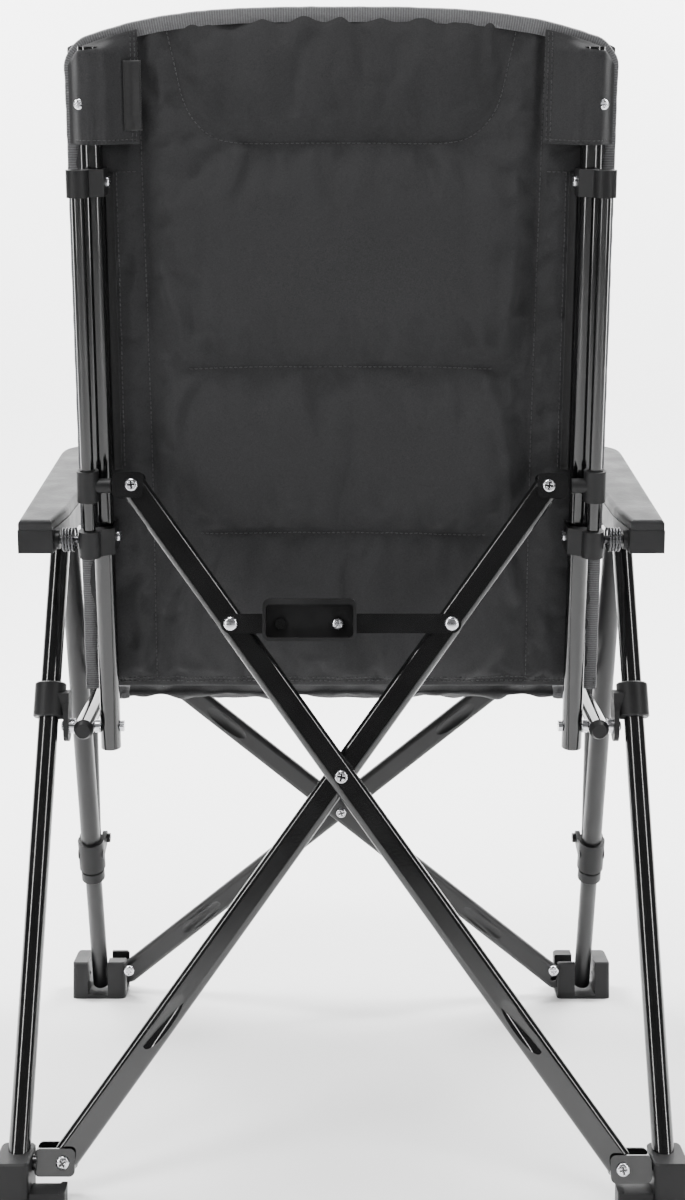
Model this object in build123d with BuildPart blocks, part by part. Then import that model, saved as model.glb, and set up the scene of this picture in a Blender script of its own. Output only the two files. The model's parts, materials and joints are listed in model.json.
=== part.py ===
"""Folding high-back recliner for camping, in millimetres, +Z up, sitter facing -Y.

The origin is on the floor under the middle of the chair. The left side, as the sitter's
back faces the viewer behind the chair, is +X. Each side is an A-frame of two legs; a rear
and a front pair of crossed tubes join the sides, and a two-link lock holds them open.
"""
from build123d import *
import os
from math import cos, radians, sin

os.makedirs("parts", exist_ok=True)

# ---- driving dimensions -------------------------------------------------------------
# A-frame sides
LEG_X = 291.0            # middle of both legs of a side
REAR_LEG_D = 20.0
FRONT_LEG_D = 22.0
FRONT_LEG_LOW_D = 19.0
TUBE_WALL = 1.5
REAR_FOOT = (260.0, 33.0)        # y, z of the rear foot's cross bolt
FRONT_FOOT = (-220.0, 23.0)      # y, z of the front foot's cross bolt
REAR_LEG_TOP = (42.0, 590.0)     # y, z of the rear leg's pin in the apex bracket
FRONT_LEG_TOP = (10.0, 590.0)
# seat and back
PIVOT = (112.0, 394.0)            # y, z of the joint of post, seat rail and rear leg
RAIL_X, RAIL_D = 255.0, 20.0
RAIL_SLOPE = 6.0                 # degrees up towards the front
RAIL_LENGTH = 391.43
POST_X, POST_D = 230.0, 20.0
POST_TILT = 12.0                 # degrees back from vertical
POST_BELOW, POST_ABOVE = 22.0, 662.0
GUIDE_X, GUIDE_D = 240.0, 12.0
GUIDE_BACK = 25.0                # guide rod behind the post, square to it
GUIDE_LOW, GUIDE_HIGH = 186.0, 552.0     # along the post, from the pivot
MOUNT_AT, SLIDER_AT = 198.0, 255.2       # middles of the arm mount and of the slider
COLLAR_D = 21.0
# crossed tubes
TUBE_W, TUBE_T = 25.0, 14.0
LAYER = 8.0                      # each crossed tube stands this far off the pair's plane
DENT_DEEP, DENT_LONG_R, DENT_ACROSS_R = 4.0, 105.0, 9.5   # oval dents pressed in the tubes
REAR_LOW_ARM, REAR_HIGH_ARM, REAR_ANGLE, REAR_LEAN = 424.0, 332.5, 36.3, 6.8
FRONT_LOW_ARM, FRONT_HIGH_ARM, FRONT_ANGLE, FRONT_LEAN = 326.0, 264.6, 51.3, -4.6
BOLT_D = 6.0
HOLE_D = 6.2
FOOT_HOLE_D = 7.2                # leaves the tube room to lean on its foot bolt
# lock
LOCK_ALONG = 173.0               # rivet, from the rear crossing up each tube
LINK_W, LINK_T = 18.0, 3.0
# strut between the sliding sleeve of the front leg and the seat rail
SLEEVE_EAR = (-176.0, 199.0)
STRUT_AT = 249.4                 # along the seat rail, from the pivot
STRUT_D = 15.0
# arms
ARM_RISE = 8.5                   # degrees up towards the front
ARM_LENGTH = 385.0
# fabric
BACK_HALF_WIDTH = 258.0
GAP = 0.3                        # between curved faces that move past each other

ACROSS = Vector(1, 0, 0)


def side_point(x, yz):
    return Vector(x, yz[0], yz[1])


def write(piece, name):
    """Label one finished piece and write its STEP file."""
    piece.label = name
    export_step(piece, f"parts/{name}.step")


def write_pair(piece, name):
    """Write a piece of the +X side and its mirror image."""
    write(piece, f"{name}_left")
    write(mirror(piece, about=Plane.YZ), f"{name}_right")


def plane_along(start, end, x_dir=ACROSS):
    """A plane at start, square to the line towards end."""
    return Plane(origin=start, x_dir=x_dir, z_dir=(end - start).normalized())


def tube(start, end, outer, wall=TUBE_WALL):
    """A round tube between two points."""
    with BuildPart() as made:
        with BuildSketch(plane_along(start, end)):
            Circle(outer / 2)
            if wall:
                Circle(outer / 2 - wall, mode=Mode.SUBTRACT)
        extrude(amount=(end - start).length)
    return made.part


def cross_bolt(x_from, x_to, yz, d=BOLT_D, head=3.0, nut=True):
    """A bolt along X: a domed head at x_from, a nut at x_to, both outside the span."""
    way = 1 if x_to > x_from else -1
    with BuildPart() as made:
        with BuildSketch(Plane.YZ.offset(x_from)):
            with Locations(yz):
                Circle(d / 2)
        extrude(amount=x_to - x_from)
        if head:
            with BuildSketch(Plane.YZ.offset(x_from)):
                with Locations(yz):
                    Circle(d * 0.9)
            extrude(amount=-way * head)
            rim = made.edges().filter_by(GeomType.CIRCLE).sort_by(Axis.X)
            fillet(rim[0] if way > 0 else rim[-1], head * 0.6)
        if nut:
            with BuildSketch(Plane.YZ.offset(x_to)):
                with Locations(yz):
                    RegularPolygon(d * 0.92, 6)
            extrude(amount=way * 4.0)
    return made.part


# ---- side frame: legs, collars, feet --------------------------------------------------
rear_foot_point = side_point(LEG_X, REAR_FOOT)
rear_top_point = side_point(LEG_X, REAR_LEG_TOP)
front_foot_point = side_point(LEG_X, FRONT_FOOT)
front_top_point = side_point(LEG_X, FRONT_LEG_TOP)
rear_leg_way = (rear_foot_point - rear_top_point).normalized()
front_leg_way = (front_foot_point - front_top_point).normalized()
rear_leg_end = rear_top_point + rear_leg_way * ((REAR_LEG_TOP[1] - 8.0) / -rear_leg_way.Z)
front_leg_end = front_top_point + front_leg_way * ((FRONT_LEG_TOP[1] - 9.0) / -front_leg_way.Z)
step_point = front_top_point + front_leg_way * 446.0

write_pair(tube(rear_top_point, rear_leg_end, REAR_LEG_D), "rear_leg")

with BuildPart() as front_leg:
    with BuildSketch(plane_along(front_top_point, step_point)):
        Circle(FRONT_LEG_D / 2)
        Circle(FRONT_LEG_LOW_D / 2 - TUBE_WALL, mode=Mode.SUBTRACT)
    extrude(amount=(step_point - front_top_point).length)
    with BuildSketch(plane_along(step_point, front_leg_end)):
        Circle(FRONT_LEG_LOW_D / 2)
        Circle(FRONT_LEG_LOW_D / 2 - TUBE_WALL, mode=Mode.SUBTRACT)
    extrude(amount=(front_leg_end - step_point).length)
write_pair(front_leg.part, "front_leg")

# apex bracket: a folded plate over both leg tops, one cheek inside and one outside
APEX_IN, APEX_OUT, APEX_T = 279.6, 302.4, 1.8
with BuildPart() as apex_bracket:
    for x in (APEX_IN - APEX_T, APEX_OUT):
        with BuildSketch(Plane.YZ.offset(x)):
            with Locations(((REAR_LEG_TOP[0] + FRONT_LEG_TOP[0]) / 2, REAR_LEG_TOP[1])):
                RectangleRounded(62.0, 30.0, 12.0)
        extrude(amount=APEX_T)

with BuildPart() as apex_pins:
    for yz in (REAR_LEG_TOP, FRONT_LEG_TOP):
        for x in (APEX_IN - APEX_T - 2.0, APEX_OUT + APEX_T):
            with BuildSketch(Plane.YZ.offset(x)):
                with Locations(yz):
                    Circle(5.0)
            extrude(amount=2.0)


def sleeve_blank(top, way, at, length, outer):
    """A solid round sleeve on a leg, its middle at a distance down the leg."""
    start, end = top + way * (at - length / 2), top + way * (at + length / 2)
    with BuildPart() as made:
        with BuildSketch(plane_along(start, end)):
            Circle(outer / 2)
        extrude(amount=length)
        chamfer(made.edges(), 1.2)
    return made.part


# rear leg collar with its inner ear, which holds the main pivot
COLLAR_Z = 419.0
collar_at = (REAR_LEG_TOP[1] - COLLAR_Z) / -rear_leg_way.Z
with BuildPart() as leg_collar:
    add(sleeve_blank(rear_top_point, rear_leg_way, collar_at, 34.0, 31.0))
    with BuildSketch(Plane.YZ.offset(270.5)):
        with Locations((PIVOT[0] - 2.0, 415.0)):
            Rectangle(18.0, 26.0)
    extrude(amount=12.0)
    with BuildSketch(Plane.YZ.offset(270.5)):
        with Locations((PIVOT[0], PIVOT[1] + 6.0)):
            SlotCenterToCenter(20.0, 22.0, rotation=90)
    extrude(amount=5.0)
    with BuildSketch(plane_along(rear_top_point, rear_leg_end)):
        Circle(REAR_LEG_D / 2 + 0.05)
    extrude(amount=500.0, mode=Mode.SUBTRACT)
    with BuildSketch(Plane.YZ.offset(265.0)):
        with Locations(PIVOT):
            Circle(BOLT_D / 2 + 0.05)
    extrude(amount=14.0, mode=Mode.SUBTRACT)

# stop ring below the sliding sleeve of the front leg
with BuildPart() as stop_ring:
    add(sleeve_blank(front_top_point, front_leg_way, 463.0, 14.0, 27.0))
    with BuildSketch(plane_along(step_point, front_leg_end)):
        Circle(FRONT_LEG_LOW_D / 2 + 0.05)
    extrude(amount=100.0, mode=Mode.SUBTRACT)
write_pair(Compound([leg_collar.part, stop_ring.part]), "leg_collars")

# rear foot: a socket for the leg and a low hook that reaches inwards
SHOE_FACE, FOOT_PIN_D, FOOT_PIN_DEEP = 278.0, 8.0, 2.4
with BuildPart() as rear_foot:
    with BuildSketch(Plane.XY):
        with Locations((LEG_X + 2.5, REAR_FOOT[0] + 4.0)):
            RectangleRounded(31.0, 42.0, 5.0)
    extrude(amount=43.0)
    with BuildSketch(Plane.XY):
        with Locations((262.5, REAR_FOOT[0] + 12.0)):
            RectangleRounded(33.0, 20.0, 3.0)
    extrude(amount=15.0)
    with BuildSketch(Plane.XY.offset(15.0)):
        with Locations((249.0, REAR_FOOT[0] + 12.0)):
            RectangleRounded(6.0, 20.0, 2.0)
    extrude(amount=1.5)
    chamfer(rear_foot.faces().sort_by(Axis.Z)[-1].edges(), 1.5)
    with BuildSketch(Plane.YZ.offset(SHOE_FACE)):
        with Locations(REAR_FOOT):
            Circle(FOOT_PIN_D / 2 + 0.05)
    extrude(amount=FOOT_PIN_DEEP, mode=Mode.SUBTRACT)
    with BuildSketch(plane_along(rear_leg_end, rear_top_point)):
        Circle(REAR_LEG_D / 2)
    extrude(amount=120.0, mode=Mode.SUBTRACT)
write_pair(rear_foot.part, "rear_foot")

# ---- crossed tubes --------------------------------------------------------------------


def lean_plane(yz, lean):
    """The plane of a crossed pair: +x across, +y up the pair, normal to the front."""
    t = radians(lean)
    return Plane(origin=(0, yz[0], yz[1]), x_dir=(1, 0, 0), z_dir=(0, -cos(t), -sin(t)))


def crossed_tube(plane, low, high, angle, way, layer, dimples):
    """One flat-oval tube. way is +1 when it runs up towards -X, from a foot at +X."""
    a = radians(angle)
    foot = Vector(way * low * sin(a), 0, 0)
    crossing = low * cos(a)
    slope = 90 + way * angle
    with BuildPart() as made:
        with BuildSketch(plane.offset(layer - TUBE_T / 2)):
            with Locations(Location((foot.X, foot.Y), slope)):
                with Locations(((low + high) / 2, 0)):
                    SlotCenterToCenter(low + high, TUBE_W)
        extrude(amount=TUBE_T)
        start = plane.from_local_coords(Vector(foot.X, foot.Y, layer))
        up_tube = plane.from_local_coords(Vector(0, crossing, layer))
        run = (up_tube - start).normalized()
        back = start - run * 40.0
        end = Plane(origin=back, x_dir=plane.z_dir, z_dir=run)
        with BuildSketch(end):
            RectangleRounded(TUBE_T, TUBE_W, 6.0)
        extrude(amount=low + high + 80.0, mode=Mode.INTERSECT)
        bore = Plane(origin=start - run * 20.0, x_dir=plane.z_dir, z_dir=run)
        with BuildSketch(bore):
            RectangleRounded(TUBE_T - 3.0, TUBE_W - 3.0, 4.6)
        extrude(amount=low + high + 40.0, mode=Mode.SUBTRACT)
        for at in dimples:
            pad = Plane(origin=start + run * (at - 36.0), x_dir=plane.z_dir, z_dir=run)
            with BuildSketch(pad):
                RectangleRounded(TUBE_T - 3.0, TUBE_W - 3.0, 4.6)
            extrude(amount=72.0)
            lift = TUBE_T / 2 - DENT_DEEP + DENT_LONG_R
            middle = start + run * at - plane.z_dir * lift
            press = Plane(origin=middle, x_dir=run, z_dir=run.cross(plane.z_dir))
            with Locations(press.location):
                Torus(DENT_LONG_R - DENT_ACROSS_R, DENT_ACROSS_R, mode=Mode.SUBTRACT)
        for at, hole in ((0.0, FOOT_HOLE_D), (low, HOLE_D), (low + high, HOLE_D)):
            middle = start + run * at - plane.z_dir * TUBE_T
            with BuildSketch(Plane(origin=middle, x_dir=plane.x_dir, z_dir=plane.z_dir)):
                Circle(hole / 2)
            extrude(amount=2 * TUBE_T, mode=Mode.SUBTRACT)
    return made.part


def plane_bolt(plane, x, y, z_from, z_to, d=BOLT_D, head=5.4, nut=True):
    """A bolt square to a crossed pair's plane. z_from is under the rear head."""
    spot = plane.from_local_coords(Vector(x, y, z_from))
    with BuildPart() as made:
        with BuildSketch(Plane(origin=spot, x_dir=plane.x_dir, z_dir=plane.z_dir)):
            Circle(d / 2)
        extrude(amount=z_to - z_from)
        with BuildSketch(Plane(origin=spot, x_dir=plane.x_dir, z_dir=plane.z_dir)):
            Circle(head)
        extrude(amount=-2.6)
        fillet(made.edges().filter_by(GeomType.CIRCLE).group_by(SortBy.RADIUS)[-1].sort_by(
            Axis.Y)[-1], 1.6)
        if nut:
            far = plane.from_local_coords(Vector(x, y, z_to))
            with BuildSketch(Plane(origin=far, x_dir=plane.x_dir, z_dir=plane.z_dir)):
                RegularPolygon(5.4, 6)
            extrude(amount=3.5)
    return made.part


OUTER_FACE = LAYER + TUBE_T / 2
rear_plane = lean_plane(REAR_FOOT, REAR_LEAN)
front_plane = lean_plane(FRONT_FOOT, FRONT_LEAN)
for label, plane, low, high, angle, dimples in (
    ("rear", rear_plane, REAR_LOW_ARM, REAR_HIGH_ARM, REAR_ANGLE, (150.0,)),
    ("front", front_plane, FRONT_LOW_ARM, FRONT_HIGH_ARM, FRONT_ANGLE, (110.0, 500.0)),
):
    # the tube whose foot is at -X is the rearmost of each pair
    tube_a = crossed_tube(plane, low, high, angle, -1, -LAYER, dimples)
    tube_b = crossed_tube(plane, low, high, angle, 1, LAYER, dimples)
    bolt = plane_bolt(plane, 0, low * cos(radians(angle)), -OUTER_FACE, OUTER_FACE)
    write(tube_a, f"{label}_tube_a")
    write(Compound([tube_b, bolt]), f"{label}_tube_b")


rear_cross = REAR_LOW_ARM * cos(radians(REAR_ANGLE))

# ---- brackets that hold the ends of the crossed tubes ----------------------------------


BRACKET_T, BRACKET_PLAY = 2.0, 0.6


def channel_bracket(plane, x, y, layer, web_side, reach, play=BRACKET_PLAY, height=24.0):
    """A channel around a tube's end: two cheeks in the pair's plane and a web outside.

    The web stands at x + web_side * reach. Returns the channel without its bolt.
    """
    inner = TUBE_T / 2 + play
    sheet = BRACKET_T
    x_low, x_high = sorted((x - web_side * 11.0, x + web_side * reach))
    with BuildPart() as made:
        for face in (layer - inner - sheet, layer + inner):
            with BuildSketch(plane.offset(face)):
                with Locations(((x_low + x_high) / 2, y)):
                    RectangleRounded(x_high - x_low, height, 5.0)
            extrude(amount=sheet)
            with BuildSketch(plane.offset(face)):
                with Locations((x, y)):
                    Circle(BOLT_D / 2 + 0.05)
            extrude(amount=sheet, mode=Mode.SUBTRACT)
        with BuildSketch(plane.offset(layer - inner - sheet)):
            with Locations((x + web_side * (reach - sheet / 2), y)):
                Rectangle(sheet, height - 8.0)
        extrude(amount=2 * (inner + sheet))
    return made.part


rear_foot_x = REAR_LOW_ARM * sin(radians(REAR_ANGLE))
front_foot_x = FRONT_LOW_ARM * sin(radians(FRONT_ANGLE))
rear_top_x = REAR_HIGH_ARM * sin(radians(REAR_ANGLE))
rear_top = (REAR_LOW_ARM + REAR_HIGH_ARM) * cos(radians(REAR_ANGLE))
front_top_x = FRONT_HIGH_ARM * sin(radians(FRONT_ANGLE))
front_top = (FRONT_LOW_ARM + FRONT_HIGH_ARM) * cos(radians(FRONT_ANGLE))
CHEEK = TUBE_T / 2 + BRACKET_PLAY + BRACKET_T
# each rear foot bracket tilts forwards and back on a short pin that faces the shoe
FOOT_REACH, FOOT_PLAY, FLANGE_D = 25.6, 1.1, 14.0
FOOT_CHEEK = TUBE_T / 2 + FOOT_PLAY + BRACKET_T
for side, way in (("left", 1), ("right", -1)):
    layer = way * LAYER
    with BuildPart() as foot_bracket:
        add(channel_bracket(rear_plane, way * rear_foot_x, 0, layer, way, FOOT_REACH, FOOT_PLAY))
        web_inner = rear_foot_x + FOOT_REACH - BRACKET_T
        for d, x_end in ((FLANGE_D, SHOE_FACE - GAP), (FOOT_PIN_D, SHOE_FACE + FOOT_PIN_DEEP - GAP)):
            with BuildSketch(Plane.YZ.offset(way * web_inner)):
                with Locations(REAR_FOOT):
                    Circle(d / 2)
            extrude(amount=way * (x_end - web_inner))
    bolt = plane_bolt(rear_plane, way * rear_foot_x, 0, layer - FOOT_CHEEK, layer + FOOT_CHEEK)
    write(Compound([foot_bracket.part, bolt]), f"foot_bracket_{side}")

# front shoe: a block around the leg end with a window and a fork for the crossed tube
for side, way in (("left", 1), ("right", -1)):
    layer = way * LAYER
    with BuildPart() as front_foot:
        with BuildSketch(Plane.XY):
            with Locations((way * 289.5, FRONT_FOOT[0])):
                RectangleRounded(63.0, 44.0, 5.0)
        extrude(amount=43.0)
        chamfer(front_foot.faces().sort_by(Axis.Z)[-1].edges(), 1.5)
        # slot for the crossed tube, open to the inside and the top
        slot_middle = front_plane.from_local_coords(Vector(way * 258.0, 12.0, layer))
        with BuildSketch(Plane.XY.offset(5.0)):
            with Locations((way * 262.0, slot_middle.Y + way * 2.0)):
                Rectangle(44.0, TUBE_T + 8.0)
        extrude(amount=60.0, mode=Mode.SUBTRACT)
        # window for the leg
        with BuildSketch(Plane.XY.offset(4.0)):
            with Locations((way * LEG_X, FRONT_FOOT[0])):
                Rectangle(24.0, 46.0)
        extrude(amount=60.0, mode=Mode.SUBTRACT)
        with BuildSketch(Plane.YZ.offset(way * 322.0)):
            with Locations(FRONT_FOOT):
                Circle(BOLT_D / 2 + 0.05)
        extrude(amount=-way * 80.0, mode=Mode.SUBTRACT)
    write(front_foot.part, f"front_foot_{side}")

# ---- seat rails, sleeves and struts ------------------------------------------------------
t = radians(RAIL_SLOPE)
rail_way = Vector(0, -cos(t), sin(t))
tilt = radians(POST_TILT)
post_way = Vector(0, sin(tilt), cos(tilt))
post_back = Vector(0, cos(tilt), -sin(tilt))
pivot_rail = side_point(RAIL_X, PIVOT)
pivot_post = side_point(POST_X, PIVOT)
pivot_guide = side_point(GUIDE_X, PIVOT) + post_back * GUIDE_BACK


def yz_of(point):
    return (point.Y, point.Z)


def drilled(piece, yz_list, d):
    """A piece with holes bored through it along X."""
    with BuildPart() as made:
        add(piece)
        with BuildSketch(Plane.YZ.offset(200.0)):
            with Locations(*yz_list):
                Circle(d / 2)
        extrude(amount=130.0, mode=Mode.SUBTRACT)
    return made.part


rail_end = pivot_rail + rail_way * RAIL_LENGTH
rail_start = pivot_rail - rail_way * 11.0
strut_top = pivot_rail + rail_way * STRUT_AT
STRUT_YZ = yz_of(strut_top)
bracket_at = 302.0
bracket_yz = yz_of(pivot_rail + rail_way * bracket_at)
front_top_yz = yz_of(front_plane.from_local_coords(Vector(0, front_top, 0)))
with BuildPart() as rail_hanger:
    with BuildSketch(Plane.YZ.offset(241.6)):
        with Locations((bracket_yz[0], (bracket_yz[1] + front_top_yz[1]) / 2)):
            RectangleRounded(36.0, bracket_yz[1] - front_top_yz[1] + 22.0, 6.0)
    extrude(amount=3.0)
    with BuildSketch(Plane.YZ.offset(240.0)):
        with Locations(bracket_yz):
            Circle(BOLT_D / 2 + 0.05)
    extrude(amount=6.0, mode=Mode.SUBTRACT)
    with BuildSketch(Plane.YZ.offset(241.6)):
        with Locations(front_top_yz):
            Circle(6.0)
    extrude(amount=-4.5)
rail_tube = drilled(tube(rail_start, rail_end, RAIL_D), [PIVOT, bracket_yz], HOLE_D)
rail_bolt = cross_bolt(RAIL_X + RAIL_D / 2, 241.6, bracket_yz, head=1.4)
write_pair(Compound([rail_tube, rail_hanger.part, rail_bolt]), "seat_rail")

with BuildPart() as rail_caps:
    for at, way in ((rail_start, -rail_way), (rail_end, rail_way)):
        with BuildSketch(Plane(origin=at, x_dir=ACROSS, z_dir=way)):
            Circle(RAIL_D / 2)
        extrude(amount=7.0, taper=22)
write_pair(rail_caps.part, "rail_caps")

# channels on the tops of the front crossed tubes, facing the hangers of the seat rails
for side, way in (("left", 1), ("right", -1)):
    layer = -way * LAYER
    x = way * front_top_x
    bracket = channel_bracket(front_plane, x, front_top, layer, way, reach=17.0)
    bolt = plane_bolt(front_plane, x, front_top, layer - CHEEK, layer + CHEEK)
    write(Compound([bracket, bolt]), f"seat_bracket_{side}")

# sliding sleeve with two ears that carry the strut
ear_yz = SLEEVE_EAR
sleeve_at = (front_top_point - side_point(LEG_X, ear_yz)).dot(-front_leg_way)
with BuildPart() as front_sleeve:
    with BuildSketch(plane_along(front_top_point + front_leg_way * (sleeve_at - 17.0), front_leg_end)):
        Circle(15.0)
    extrude(amount=38.0)
    ear_root = front_top_point + front_leg_way * sleeve_at
    for x in (276.5, 300.5):
        with BuildSketch(Plane(origin=(x, ear_root.Y, ear_root.Z), x_dir=-front_leg_way,
                               z_dir=(1, 0, 0))):
            reach = (side_point(LEG_X, ear_yz) - ear_root).length
            with Locations((0, reach / 2)):
                SlotCenterToCenter(reach, 16.0, rotation=90)
        extrude(amount=5.0)
    with BuildSketch(plane_along(front_top_point, front_leg_end)):
        Circle(FRONT_LEG_D / 2 + 0.1)
    extrude(amount=600.0, mode=Mode.SUBTRACT)
    with BuildSketch(Plane.YZ.offset(270.0)):
        with Locations(ear_yz):
            Circle(BOLT_D / 2 + 0.05)
    extrude(amount=50.0, mode=Mode.SUBTRACT)
write_pair(Compound([front_sleeve.part, cross_bolt(305.5, 276.5, ear_yz)]), "front_sleeve")

strut_low_point, strut_top_point = side_point(LEG_X, ear_yz), side_point(LEG_X, STRUT_YZ)
strut_run = (strut_top_point - strut_low_point).normalized()
with BuildPart() as strut:
    add(tube(strut_low_point - strut_run * 7.0, strut_top_point + strut_run * 9.0, STRUT_D, 2.0))
    for yz, d in ((ear_yz, HOLE_D), (STRUT_YZ, BOLT_D)):
        with BuildSketch(Plane.YZ.offset(LEG_X - 20.0)):
            with Locations(yz):
                Circle(d / 2)
        extrude(amount=40.0, mode=Mode.SUBTRACT)
strut_pin = cross_bolt(LEG_X + STRUT_D / 2, RAIL_X + RAIL_D / 2 + GAP, STRUT_YZ, nut=False)
write_pair(Compound([strut.part, strut_pin]), "seat_strut")

# main pivot of post, rail and leg collar, with its spacers
pivot_bolt = cross_bolt(275.5, POST_X - POST_D / 2, PIVOT)
with BuildPart() as pivot_spacers:
    for x_from, x_to, d in ((265.2, 270.4, 15.0), (240.2, 244.8, 13.0)):
        with BuildSketch(Plane.YZ.offset(x_from)):
            with Locations(PIVOT):
                Circle(d / 2)
                Circle(BOLT_D / 2, mode=Mode.SUBTRACT)
        extrude(amount=x_to - x_from)
apex_pin_yz = ((REAR_LEG_TOP[0] + FRONT_LEG_TOP[0]) / 2, REAR_LEG_TOP[1] + 8.0)
with BuildPart() as apex_pin:
    with BuildSketch(Plane.YZ.offset(APEX_IN)):
        with Locations(apex_pin_yz):
            Circle(4.0)
    extrude(amount=APEX_OUT - APEX_IN)
write_pair(Compound([apex_bracket.part, apex_pins.part, apex_pin.part]), "apex_bracket")
write_pair(Compound([pivot_bolt, pivot_spacers.part]), "pivot_bolt")

# ---- back posts, guide rods and what they carry ------------------------------------------
mount_yz = yz_of(pivot_post + post_way * MOUNT_AT)
top_yz = yz_of(pivot_post + post_way * (GUIDE_HIGH - 12.0))
post = tube(pivot_post - post_way * POST_BELOW, pivot_post + post_way * POST_ABOVE, POST_D)
with BuildPart() as back_post:
    add(post)
    for yz, d in ((PIVOT, HOLE_D), (mount_yz, BOLT_D), (top_yz, BOLT_D)):
        with BuildSketch(Plane.YZ.offset(200.0)):
            with Locations(yz):
                Circle(d / 2)
        extrude(amount=60.0, mode=Mode.SUBTRACT)
write_pair(back_post.part, "back_post")
guide_low, guide_high = pivot_guide + post_way * GUIDE_LOW, pivot_guide + post_way * GUIDE_HIGH
write_pair(tube(guide_low, guide_high, GUIDE_D, 1.2), "guide_rod")


def guide_block(at, length, lug_yz):
    """A plastic block around the guide rod, with a cheek on the post's inner face."""
    start = pivot_guide + post_way * (at - length / 2)
    lug = Plane(origin=side_point(POST_X, lug_yz), x_dir=post_back, z_dir=post_way)
    with BuildPart() as made:
        with BuildSketch(Plane(origin=start, x_dir=ACROSS, z_dir=post_way)):
            Circle(COLLAR_D / 2)
        extrude(amount=length)
        web = Plane(origin=side_point(POST_X, PIVOT) + post_way * (at - length / 2),
                    x_dir=ACROSS, z_dir=post_way)
        with BuildSketch(web):
            with BuildLine():
                Polyline((-13.0, -9.0), (-13.0, 18.0), (2.0, 26.0), (17.0, 26.0), (17.0, 18.0),
                         (-10.0, 10.0), (-10.0, -9.0), close=True)
            make_face()
        extrude(amount=length)
        with BuildSketch(Plane(origin=start - post_way * 5.0, x_dir=ACROSS, z_dir=post_way)):
            Circle(GUIDE_D / 2)
        extrude(amount=length + 10.0, mode=Mode.SUBTRACT)
        with BuildSketch(Plane(origin=pivot_post + post_way * (at - length), x_dir=ACROSS,
                               z_dir=post_way)):
            Circle(POST_D / 2)
        extrude(amount=2 * length, mode=Mode.SUBTRACT)
        with BuildSketch(Plane.YZ.offset(210.0)):
            with Locations(lug_yz):
                Circle(BOLT_D / 2)
        extrude(amount=12.0, mode=Mode.SUBTRACT)
    return made.part


write_pair(guide_block(MOUNT_AT, 26.0, mount_yz), "arm_mount")
write_pair(guide_block(GUIDE_HIGH - 12.0, 25.0, top_yz), "guide_head")
with BuildPart() as post_bolts:
    for yz in (mount_yz, top_yz):
        add(cross_bolt(POST_X - 13.0, POST_X + POST_D / 2, yz))
write_pair(post_bolts.part, "post_bolts")

# nylon liner that runs on the guide rod, and the collar that runs on the liner
LINER_D = 15.0
slider_mid = pivot_guide + post_way * SLIDER_AT
with BuildPart() as slider_liner:
    with BuildSketch(Plane(origin=slider_mid - post_way * 16.0, x_dir=ACROSS, z_dir=post_way)):
        Circle(LINER_D / 2)
        Circle(GUIDE_D / 2 + 0.05, mode=Mode.SUBTRACT)
    extrude(amount=32.0)
write_pair(slider_liner.part, "slider_liner")

for side, way in (("left", 1), ("right", -1)):
    layer = -way * LAYER
    x = way * rear_top_x
    mid = Vector(way * GUIDE_X, slider_mid.Y, slider_mid.Z)
    web = way * (rear_top_x + 21.0)
    with BuildPart() as slider_collar:
        with BuildSketch(Plane(origin=mid - post_way * 15.0, x_dir=ACROSS, z_dir=post_way)):
            Circle(COLLAR_D / 2)
        extrude(amount=30.0)
        with BuildSketch(Plane.YZ.offset(web)):
            with Locations(yz_of(mid)):
                Circle(7.0)
        extrude(amount=way * (GUIDE_X - abs(web)))
        with BuildSketch(Plane(origin=mid - post_way * 40.0, x_dir=ACROSS, z_dir=post_way)):
            Circle(LINER_D / 2 + 0.05)
        extrude(amount=80.0, mode=Mode.SUBTRACT)
    write(slider_collar.part, f"slider_collar_{side}")
    bracket = channel_bracket(rear_plane, x, rear_top, layer, way, reach=18.0)
    bolt = plane_bolt(rear_plane, x, rear_top, layer - CHEEK, layer + CHEEK)
    write(Compound([bracket, bolt]), f"slider_bracket_{side}")

# ---- arms -------------------------------------------------------------------------------
arm_pin_point = pivot_guide + post_way * (MOUNT_AT + 4.0)
ARM_PIN = yz_of(arm_pin_point)
rise = radians(ARM_RISE)
arm_way = Vector(0, -cos(rise), sin(rise))
arm_origin = Vector(0, ARM_PIN[0], ARM_PIN[1]) - arm_way * 14.0 - Vector(0, sin(rise), cos(rise)) * 10.0
# +x outwards, +y forwards along the arm; its normal points down
arm_plane = Plane(origin=arm_origin, x_dir=(1, 0, 0), z_dir=(0, -sin(rise), -cos(rise)))
ARM_SHELL_H, ARM_PAD_H, ARM_WALL = 22.0, 10.0, 3.0


def arm_outline(inset=0.0):
    """The plan of an arm, y forwards from its rear end."""
    rear_in, rear_out = 273.0 + inset, 306.0 - inset
    inner, outer = 267.0 + inset, 324.0 - inset
    front = ARM_LENGTH - inset
    with BuildSketch() as plan:
        with BuildLine():
            Polyline((inner, front - 55.0), (inner, 60.0), (rear_in, inset), (rear_out, inset),
                     (outer, front - 60.0))
            Spline((outer, front - 60.0), (outer - 9.0, front - 12.0), (296.0, front),
                   (inner + 7.0, front - 12.0), (inner, front - 55.0),
                   tangents=((0.06, 1.0), (0.0, -1.0)))
        make_face()
    return plan.sketch


with BuildPart() as arm_shell:
    with BuildSketch(arm_plane):
        add(arm_outline())
    extrude(amount=-ARM_SHELL_H)
    with BuildSketch(arm_plane):
        add(arm_outline(ARM_WALL))
    extrude(amount=-(ARM_SHELL_H - ARM_WALL), mode=Mode.SUBTRACT)
    with BuildSketch(Plane.YZ.offset(268.2)):
        with Locations(ARM_PIN):
            Circle(9.0)
    extrude(amount=9.0)
    with BuildSketch(Plane.YZ.offset(260.0)):
        with Locations(ARM_PIN):
            Circle(4.05)
    extrude(amount=60.0, mode=Mode.SUBTRACT)

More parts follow.
